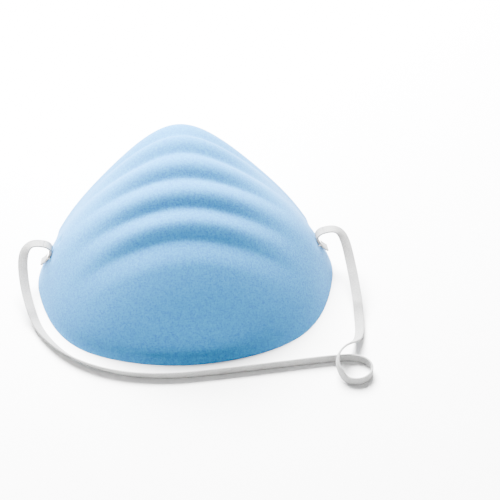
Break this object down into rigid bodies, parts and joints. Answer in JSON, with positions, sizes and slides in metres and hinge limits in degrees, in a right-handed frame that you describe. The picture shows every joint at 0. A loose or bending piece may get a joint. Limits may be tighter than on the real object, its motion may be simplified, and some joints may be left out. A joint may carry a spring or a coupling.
{
  "type": "disposable dust mask",
  "caption": "Moulded felt cup mask with scalloped ribs across its crown, a stapled elastic head band and a metal nose strip.",
  "frame": {"origin": "middle of the rim's bounding box, on the plane that the rim rests on, without the free band", "axes": "+X to the wearer's one cheek, +Y to the nose edge, +Z out of the cup; the mask is symmetric in X"},
  "size_m": [0.1432, 0.1368, 0.0559],
  "materials": {
    "blue_felt": "fine moulded non-woven felt",
    "filter_fibre": "soft fibre wadding",
    "white_liner": "smooth non-woven",
    "strip_metal": "finely embossed, dull",
    "glue": "translucent hot-melt",
    "band_elastic": "flat ribbed elastic",
    "staple_wire": "drawn wire"
  },
  "bodies": {
    "root": {"outer_shell": "blue_felt", "filter_layer": "filter_fibre", "inner_liner": "white_liner", "nose_strip": "strip_metal", "nose_strip_glue": "glue", "elastic_band": "band_elastic", "band_end_left": "band_elastic", "band_end_right": "band_elastic", "staple_left": "staple_wire", "staple_right": "staple_wire"}
  },
  "joints": []
}
